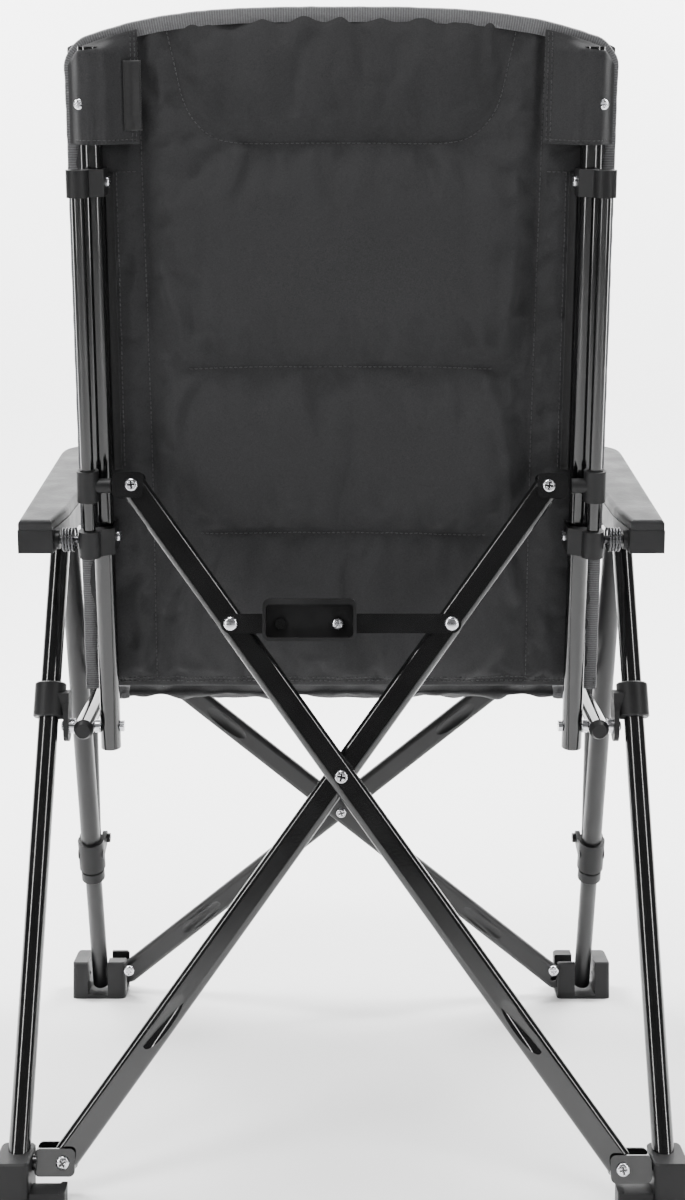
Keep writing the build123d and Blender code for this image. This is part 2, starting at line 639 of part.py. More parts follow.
with BuildPart() as arm_pad:
    with BuildSketch(arm_plane.offset(-ARM_SHELL_H)):
        add(arm_outline(0.6))
    extrude(amount=-ARM_PAD_H)
    fillet(arm_pad.faces().sort_by(Axis((0, 0, 0), (0, sin(rise), cos(rise))))[-1].edges(), 4.0)
write_pair(arm_pad.part, "arm_pad")

# notched strip under the arm, over the cross pin of the apex bracket
NOTCH_PITCH, NOTCHES = 14.0, 5
strip_mid = 158.0
with BuildPart() as arm_rack:
    with BuildSketch(Plane.YZ.offset(LEG_X - 8.0)):
        with BuildLine():
            low, high = 12.0, ARM_SHELL_H - ARM_WALL - 0.02
            half = NOTCH_PITCH * NOTCHES / 2 + 6.0
            corners = [(-half, high), (-half, low)]
            for i in range(NOTCHES):
                at = (i - NOTCHES / 2) * NOTCH_PITCH
                corners += [(at, low), (at + 4.0, low + 4.0), (at + 9.0, low + 4.0)]
            corners += [(NOTCHES / 2 * NOTCH_PITCH, low), (half, low), (half, high)]
            places = [arm_origin + arm_way * (strip_mid + a) + Vector(0, sin(rise), cos(rise)) * b
                      for a, b in corners]
            Polyline(*[(p.Y, p.Z) for p in places], close=True)
        make_face()
    extrude(amount=16.0)
write_pair(Compound([arm_shell.part, arm_rack.part]), "arm_shell")

# hinge pin of the arm and the torsion spring around it
with BuildPart() as arm_pin:
    with BuildSketch(Plane.YZ.offset(GUIDE_X + COLLAR_D / 2 + 0.3)):
        with Locations(ARM_PIN):
            Circle(4.0)
    extrude(amount=30.0)
COIL_D, WIRE_D, COIL_PITCH, COIL_LENGTH = 21.0, 2.2, 2.9, 12.2
with BuildPart() as arm_spring:
    with BuildLine() as coil_line:
        Helix(COIL_PITCH, COIL_LENGTH, COIL_D / 2, center=(253.4, ARM_PIN[0], ARM_PIN[1]),
              direction=(1, 0, 0))
    with BuildSketch(Plane(origin=coil_line.line @ 0, z_dir=coil_line.line % 0)):
        Circle(WIRE_D / 2)
    sweep(path=coil_line.line)
write_pair(Compound([arm_pin.part, arm_spring.part]), "arm_spring")

# ---- lock between the rear crossed tubes ---------------------------------------------------
a = radians(REAR_ANGLE)
rivet_x, rivet_y = LOCK_ALONG * sin(a), rear_cross + LOCK_ALONG * cos(a)
HANDLE_X, HANDLE_W, HANDLE_H, HANDLE_T = 29.0, 86.0, 38.0, 20.0
TOGGLE_X = 3.0
RIGHT_LINK_Z = -OUTER_FACE - 0.6 - LINK_T       # rear face of the link, in the pair's plane
LEFT_LINK_Z = RIGHT_LINK_Z - 0.8 - LINK_T


def lock_link(x_from, x_to, rear_face):
    with BuildPart() as made:
        with BuildSketch(rear_plane.offset(rear_face)):
            with Locations(((x_from + x_to) / 2, rivet_y)):
                SlotCenterToCenter(abs(x_to - x_from), LINK_W)
        extrude(amount=LINK_T)
    return made.part


lock_links = {"left": lock_link(TOGGLE_X, rivet_x, LEFT_LINK_Z),
              "right": lock_link(-rivet_x, TOGGLE_X, RIGHT_LINK_Z)}
with BuildPart() as lock_screws:
    for x in (TOGGLE_X, 56.0):
        with BuildSketch(rear_plane.offset(LEFT_LINK_Z - 4.0)):
            with Locations((x, rivet_y)):
                Circle(5.0)
        extrude(amount=-2.2)
for side, x, link_z, tube_face in (("left", rivet_x, LEFT_LINK_Z, -OUTER_FACE),
                                   ("right", -rivet_x, RIGHT_LINK_Z, LAYER - TUBE_T / 2)):
    with BuildPart() as lock_rivet:
        spot = rear_plane.from_local_coords(Vector(x, rivet_y, link_z))
        face = Plane(origin=spot, x_dir=rear_plane.x_dir, z_dir=rear_plane.z_dir)
        with BuildSketch(face):
            Circle(6.2)
        extrude(amount=-2.4)
        fillet(lock_rivet.edges().filter_by(GeomType.CIRCLE).sort_by(Axis.Y)[-1], 1.5)
        with BuildSketch(face.offset(LINK_T)):
            Circle(6.0)
        extrude(amount=tube_face - GAP - link_z - LINK_T)
    pieces = [lock_links[side], lock_rivet.part]
    if side == "left":
        pieces.append(lock_screws.part)
    write(Compound(pieces), f"lock_link_{side}")

with BuildPart() as lock_handle:
    base = LEFT_LINK_Z
    with BuildSketch(rear_plane.offset(base)):
        with Locations((HANDLE_X, rivet_y + 4.0)):
            RectangleRounded(HANDLE_W, HANDLE_H, 6.0)
    extrude(amount=-HANDLE_T)
    with BuildSketch(rear_plane.offset(base - 4.0)):
        with Locations((HANDLE_X, rivet_y + 3.0)):
            RectangleRounded(HANDLE_W - 6.0, HANDLE_H - 8.0, 4.0)
    extrude(amount=-HANDLE_T, mode=Mode.SUBTRACT)
write(lock_handle.part, "lock_handle")
# ---- fabric ---------------------------------------------------------------------------------
# the back panel lies in front of the posts, the seat hangs between the rails
BACK_GAP, BACK_T = 1.0, 24.0
back_origin = Vector(0, PIVOT[0], PIVOT[1]) - post_back * (POST_D / 2 + BACK_GAP)
back_plane = Plane(origin=back_origin, x_dir=(-1, 0, 0), z_dir=post_back)
BACK_LOW, BACK_SHOULDER, BACK_TOP = 29.0, 664.0, 700.0
with BuildPart() as back_panel:
    with BuildSketch(back_plane):
        with BuildLine():
            h = BACK_HALF_WIDTH
            Polyline((-h, BACK_SHOULDER), (-h, BACK_LOW), (h, BACK_LOW), (h, BACK_SHOULDER))
            Spline((h, BACK_SHOULDER), (h - 30.0, BACK_SHOULDER + 14.0), (0, BACK_TOP),
                   (-h + 30.0, BACK_SHOULDER + 14.0), (-h, BACK_SHOULDER))
        make_face()
    extrude(amount=-BACK_T)
write(back_panel.part, "back_panel")
SEAT_HALF_WIDTH, SEAT_T, SEAT_REAR, SEAT_FRONT, SEAT_UP = 231.0, 26.0, 48.0, 389.0, 5.0
rail_up = Vector(0, sin(t), cos(t))
seat_plane = Plane(origin=Vector(0, PIVOT[0], PIVOT[1]) + rail_up * SEAT_UP, x_dir=(1, 0, 0),
                   z_dir=(0, -sin(t), -cos(t)))
with BuildPart() as seat_panel:
    with BuildSketch(seat_plane):
        with Locations((0, (SEAT_REAR + SEAT_FRONT) / 2)):
            Rectangle(2 * SEAT_HALF_WIDTH, SEAT_FRONT - SEAT_REAR)
    extrude(amount=-SEAT_T)
write(seat_panel.part, "seat_panel")
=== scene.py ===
"""A folding high-back camping recliner, seen from behind.

The CAD frame carries the tubes, joints and plastic parts. This scene adds the padded back and
seat with their seams, binding, pockets and thread, the screw heads, and every material.
"""
import json
from math import cos, pi, radians, sin, sqrt, tau

import bpy
import numpy as np
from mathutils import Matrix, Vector, noise
from mathutils.bvhtree import BVHTree


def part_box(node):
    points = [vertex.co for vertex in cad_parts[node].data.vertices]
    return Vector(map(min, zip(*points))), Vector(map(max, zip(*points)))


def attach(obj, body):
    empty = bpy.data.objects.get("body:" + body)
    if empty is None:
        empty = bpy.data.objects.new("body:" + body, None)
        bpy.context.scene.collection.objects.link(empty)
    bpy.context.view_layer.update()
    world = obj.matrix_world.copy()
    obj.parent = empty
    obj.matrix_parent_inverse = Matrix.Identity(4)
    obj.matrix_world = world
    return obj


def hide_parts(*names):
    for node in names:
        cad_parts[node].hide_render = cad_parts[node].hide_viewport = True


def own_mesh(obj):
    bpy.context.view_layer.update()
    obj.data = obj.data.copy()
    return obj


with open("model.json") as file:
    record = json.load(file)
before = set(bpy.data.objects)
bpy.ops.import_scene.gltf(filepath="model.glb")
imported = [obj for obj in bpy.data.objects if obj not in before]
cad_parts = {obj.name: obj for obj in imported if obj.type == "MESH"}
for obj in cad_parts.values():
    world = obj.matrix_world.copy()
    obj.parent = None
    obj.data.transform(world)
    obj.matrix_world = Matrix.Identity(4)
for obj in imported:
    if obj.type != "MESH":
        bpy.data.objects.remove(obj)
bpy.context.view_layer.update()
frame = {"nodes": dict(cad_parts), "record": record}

JOINTS = {j["name"]: j for j in frame["record"]["behaviour"]["joints"]}
PIVOT_Y, PIVOT_Z = JOINTS["back_recline"]["pos_m"][1:]

# ---- places --------------------------------------------------------------------------
POST_TILT, RAIL_SLOPE = radians(12.0), radians(6.0)
POST_X, POST_R, RAIL_X = 0.230, 0.010, 0.255
BACK_HALF, BACK_LOW, BACK_TOP, BACK_DROP = 0.258, 0.029, 0.700, 0.036
BACK_THICK, BACK_CLEAR = 0.024, 0.001
SEAT_HALF, SEAT_REAR, SEAT_FRONT, SEAT_THICK, SEAT_BELOW = 0.231, 0.048, 0.389, 0.026, -0.005
REAR_FOOT, REAR_LEAN = (0.260, 0.033), radians(6.8)
FRONT_FOOT, FRONT_LEAN = (-0.220, 0.023), radians(-4.6)
post_way = Vector((0, sin(POST_TILT), cos(POST_TILT)))
post_back = Vector((0, cos(POST_TILT), -sin(POST_TILT)))
rail_way = Vector((0, -cos(RAIL_SLOPE), sin(RAIL_SLOPE)))
rail_up = Vector((0, sin(RAIL_SLOPE), cos(RAIL_SLOPE)))
pivot = Vector((0, PIVOT_Y, PIVOT_Z))


def back_at(u, v, w):
    """u towards +X, v up the posts from the pivot, w rearwards of the panel's rear face."""
    return pivot + Vector((u, 0, 0)) + post_way * v + post_back * (w - POST_R - BACK_CLEAR)


def seat_at(u, v, w):
    """u towards +X, v forwards along the rails, w up from the seat's underside."""
    return pivot + Vector((u, 0, 0)) + rail_way * v + rail_up * (w - SEAT_BELOW)


def pair_at(foot, lean, x, y, w):
    """A point in the plane of a crossed pair: y up the plane, w rearwards of it."""
    return Vector((x, foot[0] - sin(lean) * y + cos(lean) * w, foot[1] + cos(lean) * y + sin(lean) * w))


def back_top(u):
    """The top edge of the back, along the posts, drops towards its corners."""
    return BACK_TOP - BACK_DROP * (abs(u) / BACK_HALF) ** 3.3


# ---- materials -----------------------------------------------------------------------
def shader(name, colour, roughness, metallic=0.0, coat=0.0, sheen=0.0, specular=0.5):
    mat = bpy.data.materials.new(name)
    mat.use_nodes = True
    bsdf = mat.node_tree.nodes["Principled BSDF"]
    bsdf.inputs["Base Color"].default_value = (*colour, 1)
    bsdf.inputs["Roughness"].default_value = roughness
    bsdf.inputs["Metallic"].default_value = metallic
    bsdf.inputs["Coat Weight"].default_value = coat
    bsdf.inputs["Coat Roughness"].default_value = 0.08
    bsdf.inputs["Sheen Weight"].default_value = sheen
    bsdf.inputs["Sheen Roughness"].default_value = 0.5
    bsdf.inputs["Specular IOR Level"].default_value = specular
    return mat, mat.node_tree, bsdf


def noise_node(tree, stretch, detail=3.0, coordinates="Object"):
    """Noise in object space, with a scale in cycles per metre along each axis."""
    place = tree.nodes.new("ShaderNodeTexCoord")
    mapping = tree.nodes.new("ShaderNodeMapping")
    mapping.inputs["Scale"].default_value = stretch
    texture = tree.nodes.new("ShaderNodeTexNoise")
    texture.inputs["Scale"].default_value = 1.0
    texture.inputs["Detail"].default_value = detail
    tree.links.new(place.outputs[coordinates], mapping.inputs["Vector"])
    tree.links.new(mapping.outputs["Vector"], texture.inputs["Vector"])
    return texture.outputs["Fac"]


def spread(tree, value, low, high, start=0.3, end=0.7):
    node = tree.nodes.new("ShaderNodeMapRange")
    for key, number in (("From Min", start), ("From Max", end), ("To Min", low), ("To Max", high)):
        node.inputs[key].default_value = number
    tree.links.new(value, node.inputs["Value"])
    return node.outputs["Result"]


def ramp(tree, value, low, high, start=0.3, end=0.7):
    node = tree.nodes.new("ShaderNodeValToRGB")
    node.color_ramp.elements[0].position, node.color_ramp.elements[1].position = start, end
    node.color_ramp.elements[0].color = (*low, 1)
    node.color_ramp.elements[1].color = (*high, 1)
    tree.links.new(value, node.inputs["Fac"])
    return node.outputs["Color"]


def both(tree, a, b, operation="ADD"):
    node = tree.nodes.new("ShaderNodeMath")
    node.operation = operation
    for i, value in enumerate((a, b)):
        if isinstance(value, float):
            node.inputs[i].default_value = value
        else:
            tree.links.new(value, node.inputs[i])
    return node.outputs[0]


def bump(tree, bsdf, height, strength, distance):
    node = tree.nodes.new("ShaderNodeBump")
    node.inputs["Strength"].default_value = strength
    node.inputs["Distance"].default_value = distance
    tree.links.new(height, node.inputs["Height"])
    tree.links.new(node.outputs["Normal"], bsdf.inputs["Normal"])


def grey(level):
    return (level, level, level * 1.04)


def painted(name, level, rough_low, rough_high, coat, peel):
    """Powder-coated steel: slightly uneven gloss and a faint orange peel."""
    mat, tree, bsdf = shader(name, grey(level), rough_low, coat=coat)
    patches = noise_node(tree, (28, 28, 28), 4)
    tree.links.new(spread(tree, patches, rough_low, rough_high), bsdf.inputs["Roughness"])
    tree.links.new(ramp(tree, patches, grey(level * 0.75), grey(level * 1.35)), bsdf.inputs["Base Color"])
    bump(tree, bsdf, noise_node(tree, (420, 420, 420), 2), peel, 0.0003)
    return mat


def moulded(name, level, rough, grain, depth, voronoi=False):
    """Moulded plastic with a fine grain, duller and lighter in patches."""
    mat, tree, bsdf = shader(name, grey(level), rough, specular=0.25)
    patches = noise_node(tree, (35, 35, 35), 5)
    tree.links.new(spread(tree, patches, rough - 0.07, rough + 0.08), bsdf.inputs["Roughness"])
    tree.links.new(ramp(tree, patches, grey(level * 0.8), grey(level * 1.3)), bsdf.inputs["Base Color"])
    if voronoi:
        place = tree.nodes.new("ShaderNodeTexCoord")
        cells = tree.nodes.new("ShaderNodeTexVoronoi")
        cells.inputs["Scale"].default_value = grain
        tree.links.new(place.outputs["Object"], cells.inputs["Vector"])
        height = both(tree, cells.outputs["Distance"], noise_node(tree, (grain, grain, grain), 3))
    else:
        height = noise_node(tree, (grain, grain, grain), 3)
    bump(tree, bsdf, height, depth, 0.0004)
    return mat


def metal(name, level, rough, streak=(60, 60, 900)):
    mat, tree, bsdf = shader(name, grey(level), rough, metallic=1.0)
    lines = noise_node(tree, streak, 4)
    tree.links.new(spread(tree, lines, rough * 0.7, rough * 1.5), bsdf.inputs["Roughness"])
    bright = grey(min(1.0, level * 1.12))
    tree.links.new(ramp(tree, lines, grey(level * 0.82), bright), bsdf.inputs["Base Color"])
    bump(tree, bsdf, lines, 0.12, 0.0001)
    return mat


def woven(name, level, warp, weft, contrast, depth, sheen, rough=0.86):
    """Plain-weave cloth of mixed yarns: long thin streaks in both thread directions."""
    mat, tree, bsdf = shader(name, grey(level), rough, sheen=sheen, specular=0.2)
    across = noise_node(tree, warp, 2)
    along = noise_node(tree, weft, 2)
    threads = both(tree, both(tree, across, along), 0.5, "MULTIPLY")
    patches = noise_node(tree, (9, 9, 9), 4)
    mixed = both(tree, both(tree, threads, 0.8, "MULTIPLY"), both(tree, patches, 0.2, "MULTIPLY"))
    tree.links.new(ramp(tree, mixed, grey(level * (1 - contrast)), grey(level * (1 + contrast)), 0.38, 0.62),
                   bsdf.inputs["Base Color"])
    tree.links.new(spread(tree, patches, rough - 0.06, rough + 0.06), bsdf.inputs["Roughness"])
    bump(tree, bsdf, threads, depth, 0.0006)
    return mat


def ribbed(name, level):
    """Binding tape: fine ribs across its length, from the tape's own UVs in metres."""
    mat, tree, bsdf = shader(name, grey(level), 0.8, sheen=0.25)
    place = tree.nodes.new("ShaderNodeTexCoord")
    mapping = tree.nodes.new("ShaderNodeMapping")
    mapping.inputs["Scale"].default_value = (420.0, 420.0, 1.0)
    wave = tree.nodes.new("ShaderNodeTexWave")
    wave.bands_direction = "X"
    wave.inputs["Scale"].default_value = 0.32
    wave.inputs["Distortion"].default_value = 0.4
    tree.links.new(place.outputs["UV"], mapping.inputs["Vector"])
    tree.links.new(mapping.outputs["Vector"], wave.inputs["Vector"])
    fibres = noise_node(tree, (700, 700, 700), 2)
    mixed = both(tree, both(tree, wave.outputs["Fac"], 0.5, "MULTIPLY"), both(tree, fibres, 0.5, "MULTIPLY"))
    tree.links.new(ramp(tree, mixed, grey(level * 0.55), grey(level * 1.45), 0.15, 0.85),
                   bsdf.inputs["Base Color"])
    bump(tree, bsdf, mixed, 0.6, 0.0008)
    return mat


FABRIC = 0.023
cloth = woven("charcoal_weave", FABRIC, (2400, 500, 500), (500, 500, 2400), 0.30, 0.35, 0.04)
pocket_cloth = woven("pocket_weave", FABRIC * 1.08, (2200, 500, 500), (500, 500, 2200), 0.30, 0.40, 0.04)
sleeve_cloth = woven("black_ripstop", 0.007, (1500, 150, 150), (150, 150, 1500), 0.4, 0.4, 0.1, 0.7)
label_satin = woven("label_satin", 0.010, (2500, 200, 200), (200, 200, 400), 0.3, 0.2, 0.3, 0.5)
thread_mat = woven("sewing_thread", 0.040, (2500, 900, 900), (900, 900, 2500), 0.4, 0.3, 0.2, 0.75)
binding_mat = ribbed("binding_tape", 0.085)
zinc = metal("zinc_plate", 0.78, 0.22)
SLOT_MATERIALS = {
    "gloss_black_steel": painted("gloss_black_paint", 0.004, 0.10, 0.18, 0.6, 0.10),
    "satin_black_steel": painted("satin_black_paint", 0.010, 0.34, 0.46, 0.0, 0.16),
    "bracket_steel": painted("bracket_black_paint", 0.005, 0.16, 0.28, 0.4, 0.10),
    "zinc_steel": zinc,
    "spring_steel": metal("oiled_spring_steel", 0.10, 0.30),
    "black_nylon": moulded("black_nylon_grain", 0.010, 0.47, 900.0, 0.22),
    "arm_plastic": moulded("arm_shell_grain", 0.010, 0.42, 800.0, 0.25),
    "arm_cover": moulded("arm_cover_leather_grain", 0.015, 0.50, 420.0, 0.45, voronoi=True),
    "padded_fabric": cloth,
}
for part in frame["record"]["subparts"]:
    node = frame["nodes"][part["node"]]
    node.data.materials.clear()
    node.data.materials.append(SLOT_MATERIALS[part["material_slot"]])


# ---- mesh helpers --------------------------------------------------------------------
def piece(name, verts, faces, mat, body, smooth=True, uvs=None):
    mesh = bpy.data.meshes.new(name)
    mesh.from_pydata([tuple(v) for v in verts], [], faces)
    if uvs:
        layer = mesh.uv_layers.new(name="tape")
        for loop in mesh.loops:
            layer.data[loop.index].uv = uvs[loop.vertex_index]
    mesh.validate()
    mesh.update()
    mesh.materials.append(mat)
    if smooth:
        mesh.polygons.foreach_set("use_smooth", [True] * len(mesh.polygons))
    obj = bpy.data.objects.new(name, mesh)
    bpy.context.collection.objects.link(obj)
    if body:
        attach(obj, body)
    return obj


def grid_faces(rows, columns, start=0, flip=False, wrap=False):
    """Quads of a grid of points stored row by row; wrap joins the last column to the first."""
    faces = []
    for i in range(rows - 1):
        for j in range(columns if wrap else columns - 1):
            a, b = start + i * columns + j, start + i * columns + (j + 1) % columns
            quad = (a, b, b + columns, a + columns)
            faces.append(quad[::-1] if flip else quad)
    return faces


def smooth_line(points, step):
    """Catmull-Rom through 2-D or 3-D points, sampled about every step."""
    pts = [Vector(p).to_3d() for p in points]
    pts = [pts[0] * 2 - pts[1]] + pts + [pts[-1] * 2 - pts[-2]]
    out = []
    for a, b, c, d in zip(pts, pts[1:], pts[2:], pts[3:]):
        n = max(1, round((c - b).length / step))
        for i in range(n):
            t = i / n
            out.append(0.5 * ((2 * b) + (c - a) * t + (2 * a - 5 * b + 4 * c - d) * t * t
                              + (3 * b - a - 3 * c + d) * t ** 3))
    out.append(pts[-2])
    return out


def nearest_on(line, u, v):
    """(distance, u, v) of the nearest point of a polyline given as an array of points."""
    a, b = line[:-1], line[1:]
    run = b - a
    t = np.clip(((np.array((u, v)) - a) * run).sum(1) / (run * run).sum(1), 0, 1)
    near = a + run * t[:, None]
    gap = np.hypot(near[:, 0] - u, near[:, 1] - v)
    i = int(gap.argmin())
    return gap[i], near[i, 0], near[i, 1]


# ---- padded panels -------------------------------------------------------------------
PANEL_CELL = 0.0052
CREASE_GAIN, SOFT_HEIGHT, PULL_HEIGHT = 3.2, 0.0042, 0.0020
SIM_STEPS, PRESSURE = 20, 4.0


def creased(u, v, creases, gap, edge, seed):
    """Height of pulled folds and soft wrinkles, gone at the seams and at the rim."""
    height = 0.0
    for (ua, va), (ub, vb), wide, high in creases:
        along = Vector((ub - ua, vb - va))
        span = along.length
        off = Vector((u - ua, v - va))
        t = off.dot(along) / span ** 2
        if -0.1 < t < 1.1:
            side = (off.x * along.y - off.y * along.x) / span + 0.004 * sin(5 * t + ua * 40)
            tall = max(0.0, sin(pi * min(1.0, max(0.0, (t + 0.1) / 1.2)))) ** 0.7
            x = side / (1.25 * wide)
            ridge = np.exp(-x * x) - 0.55 * np.exp(-((x - 1.7) ** 2)) - 0.25 * np.exp(-((x + 1.6) ** 2))
            height += high * tall * ridge
    soft = noise.noise(Vector((u * 34 + 3 * v, v * 9 + 4 * u, seed))) \
        + 0.5 * noise.noise(Vector((u * 75 - 6 * v, v * 22, seed + 7)))
    tight = min(1.0, gap / 0.012) * min(1.0, edge / 0.02)
    pull = max(0.0, 1 - gap / 0.035) * sin(u * 260 + 5 * noise.noise(Vector((u * 15, v * 12, seed))))
    return (CREASE_GAIN * height + SOFT_HEIGHT * soft + PULL_HEIGHT * pull) * tight


def quilt(name, at, half, v_low, v_top, middle, thick, seams, growth, cap, limit, seed, creases=()):
    """A stuffed panel: two sheets joined at the rim and sewn together along its seams.

    at(u, v, w) places a point; v_top(u) is the far edge; limit(u, w) keeps w clear of the frame;
    growth is the cloth's slack, cap the farthest that the cloth run may move a point, creases its pulled folds.
    """
    columns = 2 * round(half / PANEL_CELL) + 1
    rows = round((v_top(0) - v_low) / PANEL_CELL) + 1
    lines = [np.array([(p.x, p.y) for p in smooth_line(s, 0.004)]) for s in seams]
    plan, held = [], []
    for i in range(rows):
        for j in range(columns):
            u = half * (2 * j / (columns - 1) - 1)
            v = v_low + (v_top(u) - v_low) * i / (rows - 1)
            rim = i in (0, rows - 1) or j in (0, columns - 1)
            near = min((nearest_on(line, u, v) for line in lines), default=(1, 0, 0))
            sewn = near[0] < 0.55 * PANEL_CELL and not rim
            if sewn:
                u, v = near[1], near[2]
            edge = min(half - abs(u), v - v_low, v_top(u) - v)
            plan.append((u, v, max(edge, 0), near[0]))
            held.append(2 if rim else 1 if sewn else 0)
    verts, folds, where = [], [], {}
    pins = []
    for side in (1, -1):
        for k, (u, v, edge, gap) in enumerate(plan):
            if held[k] == 2 and side == -1:
                where[side, k] = where[1, k]
                continue
            round_edge = sqrt(min(1.0, edge / 0.018))
            channel = 0.22 + 0.78 * min(1.0, gap / 0.020) ** 0.6
            swell = thick / 2 * round_edge * channel
            wobble = 0.0006 * noise.noise(Vector((u * 40, v * 40, seed + side)))
            folds.append(side * creased(u, v, creases, gap, edge, seed + 11 * side) * (held[k] == 0))
            w = middle if held[k] == 2 else middle + side * swell + wobble * (held[k] == 0)
            where[side, k] = len(verts)
            verts.append(at(u, v, limit(u, w) if side == 1 else w))
            if held[k]:
                pins.append(len(verts) - 1)
    faces = []
    for side in (1, -1):
        for quad in grid_faces(rows, columns):
            quad = [where[side, k] for k in quad]
            faces.append(quad if side == -1 else quad[::-1])
    obj = piece(name, verts, faces, cloth, None)
    rest = np.array([tuple(v) for v in verts])
    group = obj.vertex_groups.new(name="sewn")
    group.add(pins, 1.0, "REPLACE")
    sim = obj.modifiers.new("Cloth", "CLOTH")
    s = sim.settings
    s.quality, s.mass = 5, 0.2
    s.vertex_group_mass = "sewn"
    s.tension_stiffness = s.compression_stiffness = 14
    s.shear_stiffness, s.bending_stiffness = 6, 0.35
    s.use_pressure, s.uniform_pressure_force = True, PRESSURE
    s.shrink_min = -growth
    s.effector_weights.gravity = 0
    sim.collision_settings.use_collision = False
    sim.point_cache.frame_start, sim.point_cache.frame_end = 1, SIM_STEPS
    for step in range(1, SIM_STEPS + 1):
        bpy.context.scene.frame_set(step)
    graph = bpy.context.evaluated_depsgraph_get()
    done = obj.evaluated_get(graph).to_mesh()
    moved = np.empty(len(verts) * 3)
    done.vertices.foreach_get("co", moved)
    moved = moved.reshape(-1, 3)
    obj.modifiers.remove(sim)
    bpy.context.scene.frame_set(1)
    shift = moved - rest
    length = np.linalg.norm(shift, axis=1)
    shift *= np.minimum(1, cap / np.maximum(length, 1e-9))[:, None]
    final = rest + shift
    base, u_dir = at(0, 0, 0), at(1, 0, 0) - at(0, 0, 0)
    v_dir, w_dir = at(0, 1, 0) - at(0, 0, 0), at(0, 0, 1) - at(0, 0, 0)
    for k, p in enumerate(final):
        d = Vector(p) - base
        u, v, w = d.dot(u_dir), d.dot(v_dir), d.dot(w_dir) + folds[k]
        final[k] = at(u, v, limit(u, w))
    obj.data.vertices.foreach_set("co", final.ravel())
    obj.vertex_groups.clear()
    obj.data.update()
    finer = obj.modifiers.new("Subdivision", "SUBSURF")
    finer.levels = finer.render_levels = 1
    graph = bpy.context.evaluated_depsgraph_get()
    mesh = bpy.data.meshes.new_from_object(obj.evaluated_get(graph))
    obj.modifiers.clear()
    obj.data = mesh
    mesh.polygons.foreach_set("use_smooth", [True] * len(mesh.polygons))
    return obj, lines


def mirrored(points):
    """A line and its mirror image as one line across the middle."""
    return list(points) + [(-u, v) for u, v in reversed(points)]


PILLOW = mirrored([(0.160, 0.686), (0.152, 0.650), (0.142, 0.609), (0.123, 0.585), (0.095, 0.577),
                   (0.030, 0.577)])
LUMBAR = [(0.146, 0.362), (0.07, 0.364), (0.0, 0.364), (-0.07, 0.364), (-0.146, 0.362)]
LOW_LUMBAR = [(0.138, 0.197), (0.07, 0.198), (0.0, 0.198), (-0.07, 0.197), (-0.144, 0.195)]
SIDE_SEAM = [(0.186, 0.684), (0.184, 0.560), (0.182, 0.400), (0.181, 0.240), (0.182, 0.046)]
HEM = [(0.254, 0.038), (0.0, 0.038), (-0.254, 0.038)]
BACK_SEAMS = [PILLOW, LUMBAR, SIDE_SEAM, [(-u, v) for u, v in SIDE_SEAM], HEM, LOW_LUMBAR]
# pulled folds: two ends, half width and height
BACK_CREASES = [
    ((0.146, 0.366), (0.172, 0.470), 0.0055, 0.0022),
    ((0.140, 0.368), (0.120, 0.450), 0.006, 0.0018),
    ((0.142, 0.356), (0.165, 0.270), 0.0055, 0.0022),
    ((0.120, 0.355), (0.104, 0.280), 0.007, 0.0017),
    ((-0.146, 0.366), (-0.168, 0.475), 0.0055, 0.0022),
    ((-0.136, 0.368), (-0.108, 0.455), 0.006, 0.0019),
    ((-0.142, 0.356), (-0.160, 0.265), 0.0055, 0.0022),
    ((-0.104, 0.355), (-0.092, 0.290), 0.007, 0.0016),
    ((0.150, 0.160), (0.205, 0.070), 0.0065, 0.003),
    ((0.125, 0.188), (0.150, 0.090), 0.006, 0.002),
    ((-0.150, 0.180), (-0.205, 0.075), 0.0065, 0.0028),
    ((-0.118, 0.185), (-0.135, 0.085), 0.006, 0.002),
    ((0.060, 0.188), (0.075, 0.060), 0.008, 0.0018),
    ((-0.030, 0.190), (-0.045, 0.055), 0.008, 0.0018),
    ((0.100, 0.570), (0.108, 0.490), 0.007, 0.0018),
    ((-0.090, 0.570), (-0.106, 0.485), 0.007, 0.0018),
    ((0.020, 0.568), (0.026, 0.480), 0.009, 0.0014),
    ((-0.060, 0.355), (-0.050, 0.215), 0.01, 0.0015),
    ((0.040, 0.355), (0.048, 0.215), 0.01, 0.0015),
    ((0.205, 0.060), (0.244, 0.150), 0.006, 0.0022),
]


def clear_of_posts(u, w):
    """Behind the panel the posts touch it; between them the padding may swell past them."""
    free = min(1.0, max(0.0, (POST_X - 0.020 - abs(u)) / 0.050))
    return min(w, -0.0006 + 0.0095 * free)


back, back_lines = quilt("back_padding", back_at, BACK_HALF - 0.003, BACK_LOW + 0.002,
                         lambda u: back_top(u) - 0.003, -BACK_THICK / 2, BACK_THICK - 0.006,
                         BACK_SEAMS, 0.038, 0.013, clear_of_posts, 3.0, BACK_CREASES)
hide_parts("back_panel")

SEAT_SEAMS = [[(SEAT_HALF - 0.045, SEAT_REAR + 0.01), (SEAT_HALF - 0.045, SEAT_FRONT - 0.01)],
              [(0.045 - SEAT_HALF, SEAT_REAR + 0.01), (0.045 - SEAT_HALF, SEAT_FRONT - 0.01)],
              [(SEAT_HALF - 0.05, SEAT_FRONT - 0.075), (0.05 - SEAT_HALF, SEAT_FRONT - 0.075)],
              [(SEAT_HALF - 0.05, SEAT_REAR + 0.13), (0.05 - SEAT_HALF, SEAT_REAR + 0.13)]]


def sat_on(_, w):
    return w


seat, seat_lines = quilt("seat_padding", seat_at, SEAT_HALF - 0.002, SEAT_REAR + 0.002,
                         lambda u: SEAT_FRONT - 0.002, SEAT_THICK / 2, SEAT_THICK - 0.006,
                         SEAT_SEAMS, 0.020, 0.012, sat_on, 9.0)
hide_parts("seat_panel")


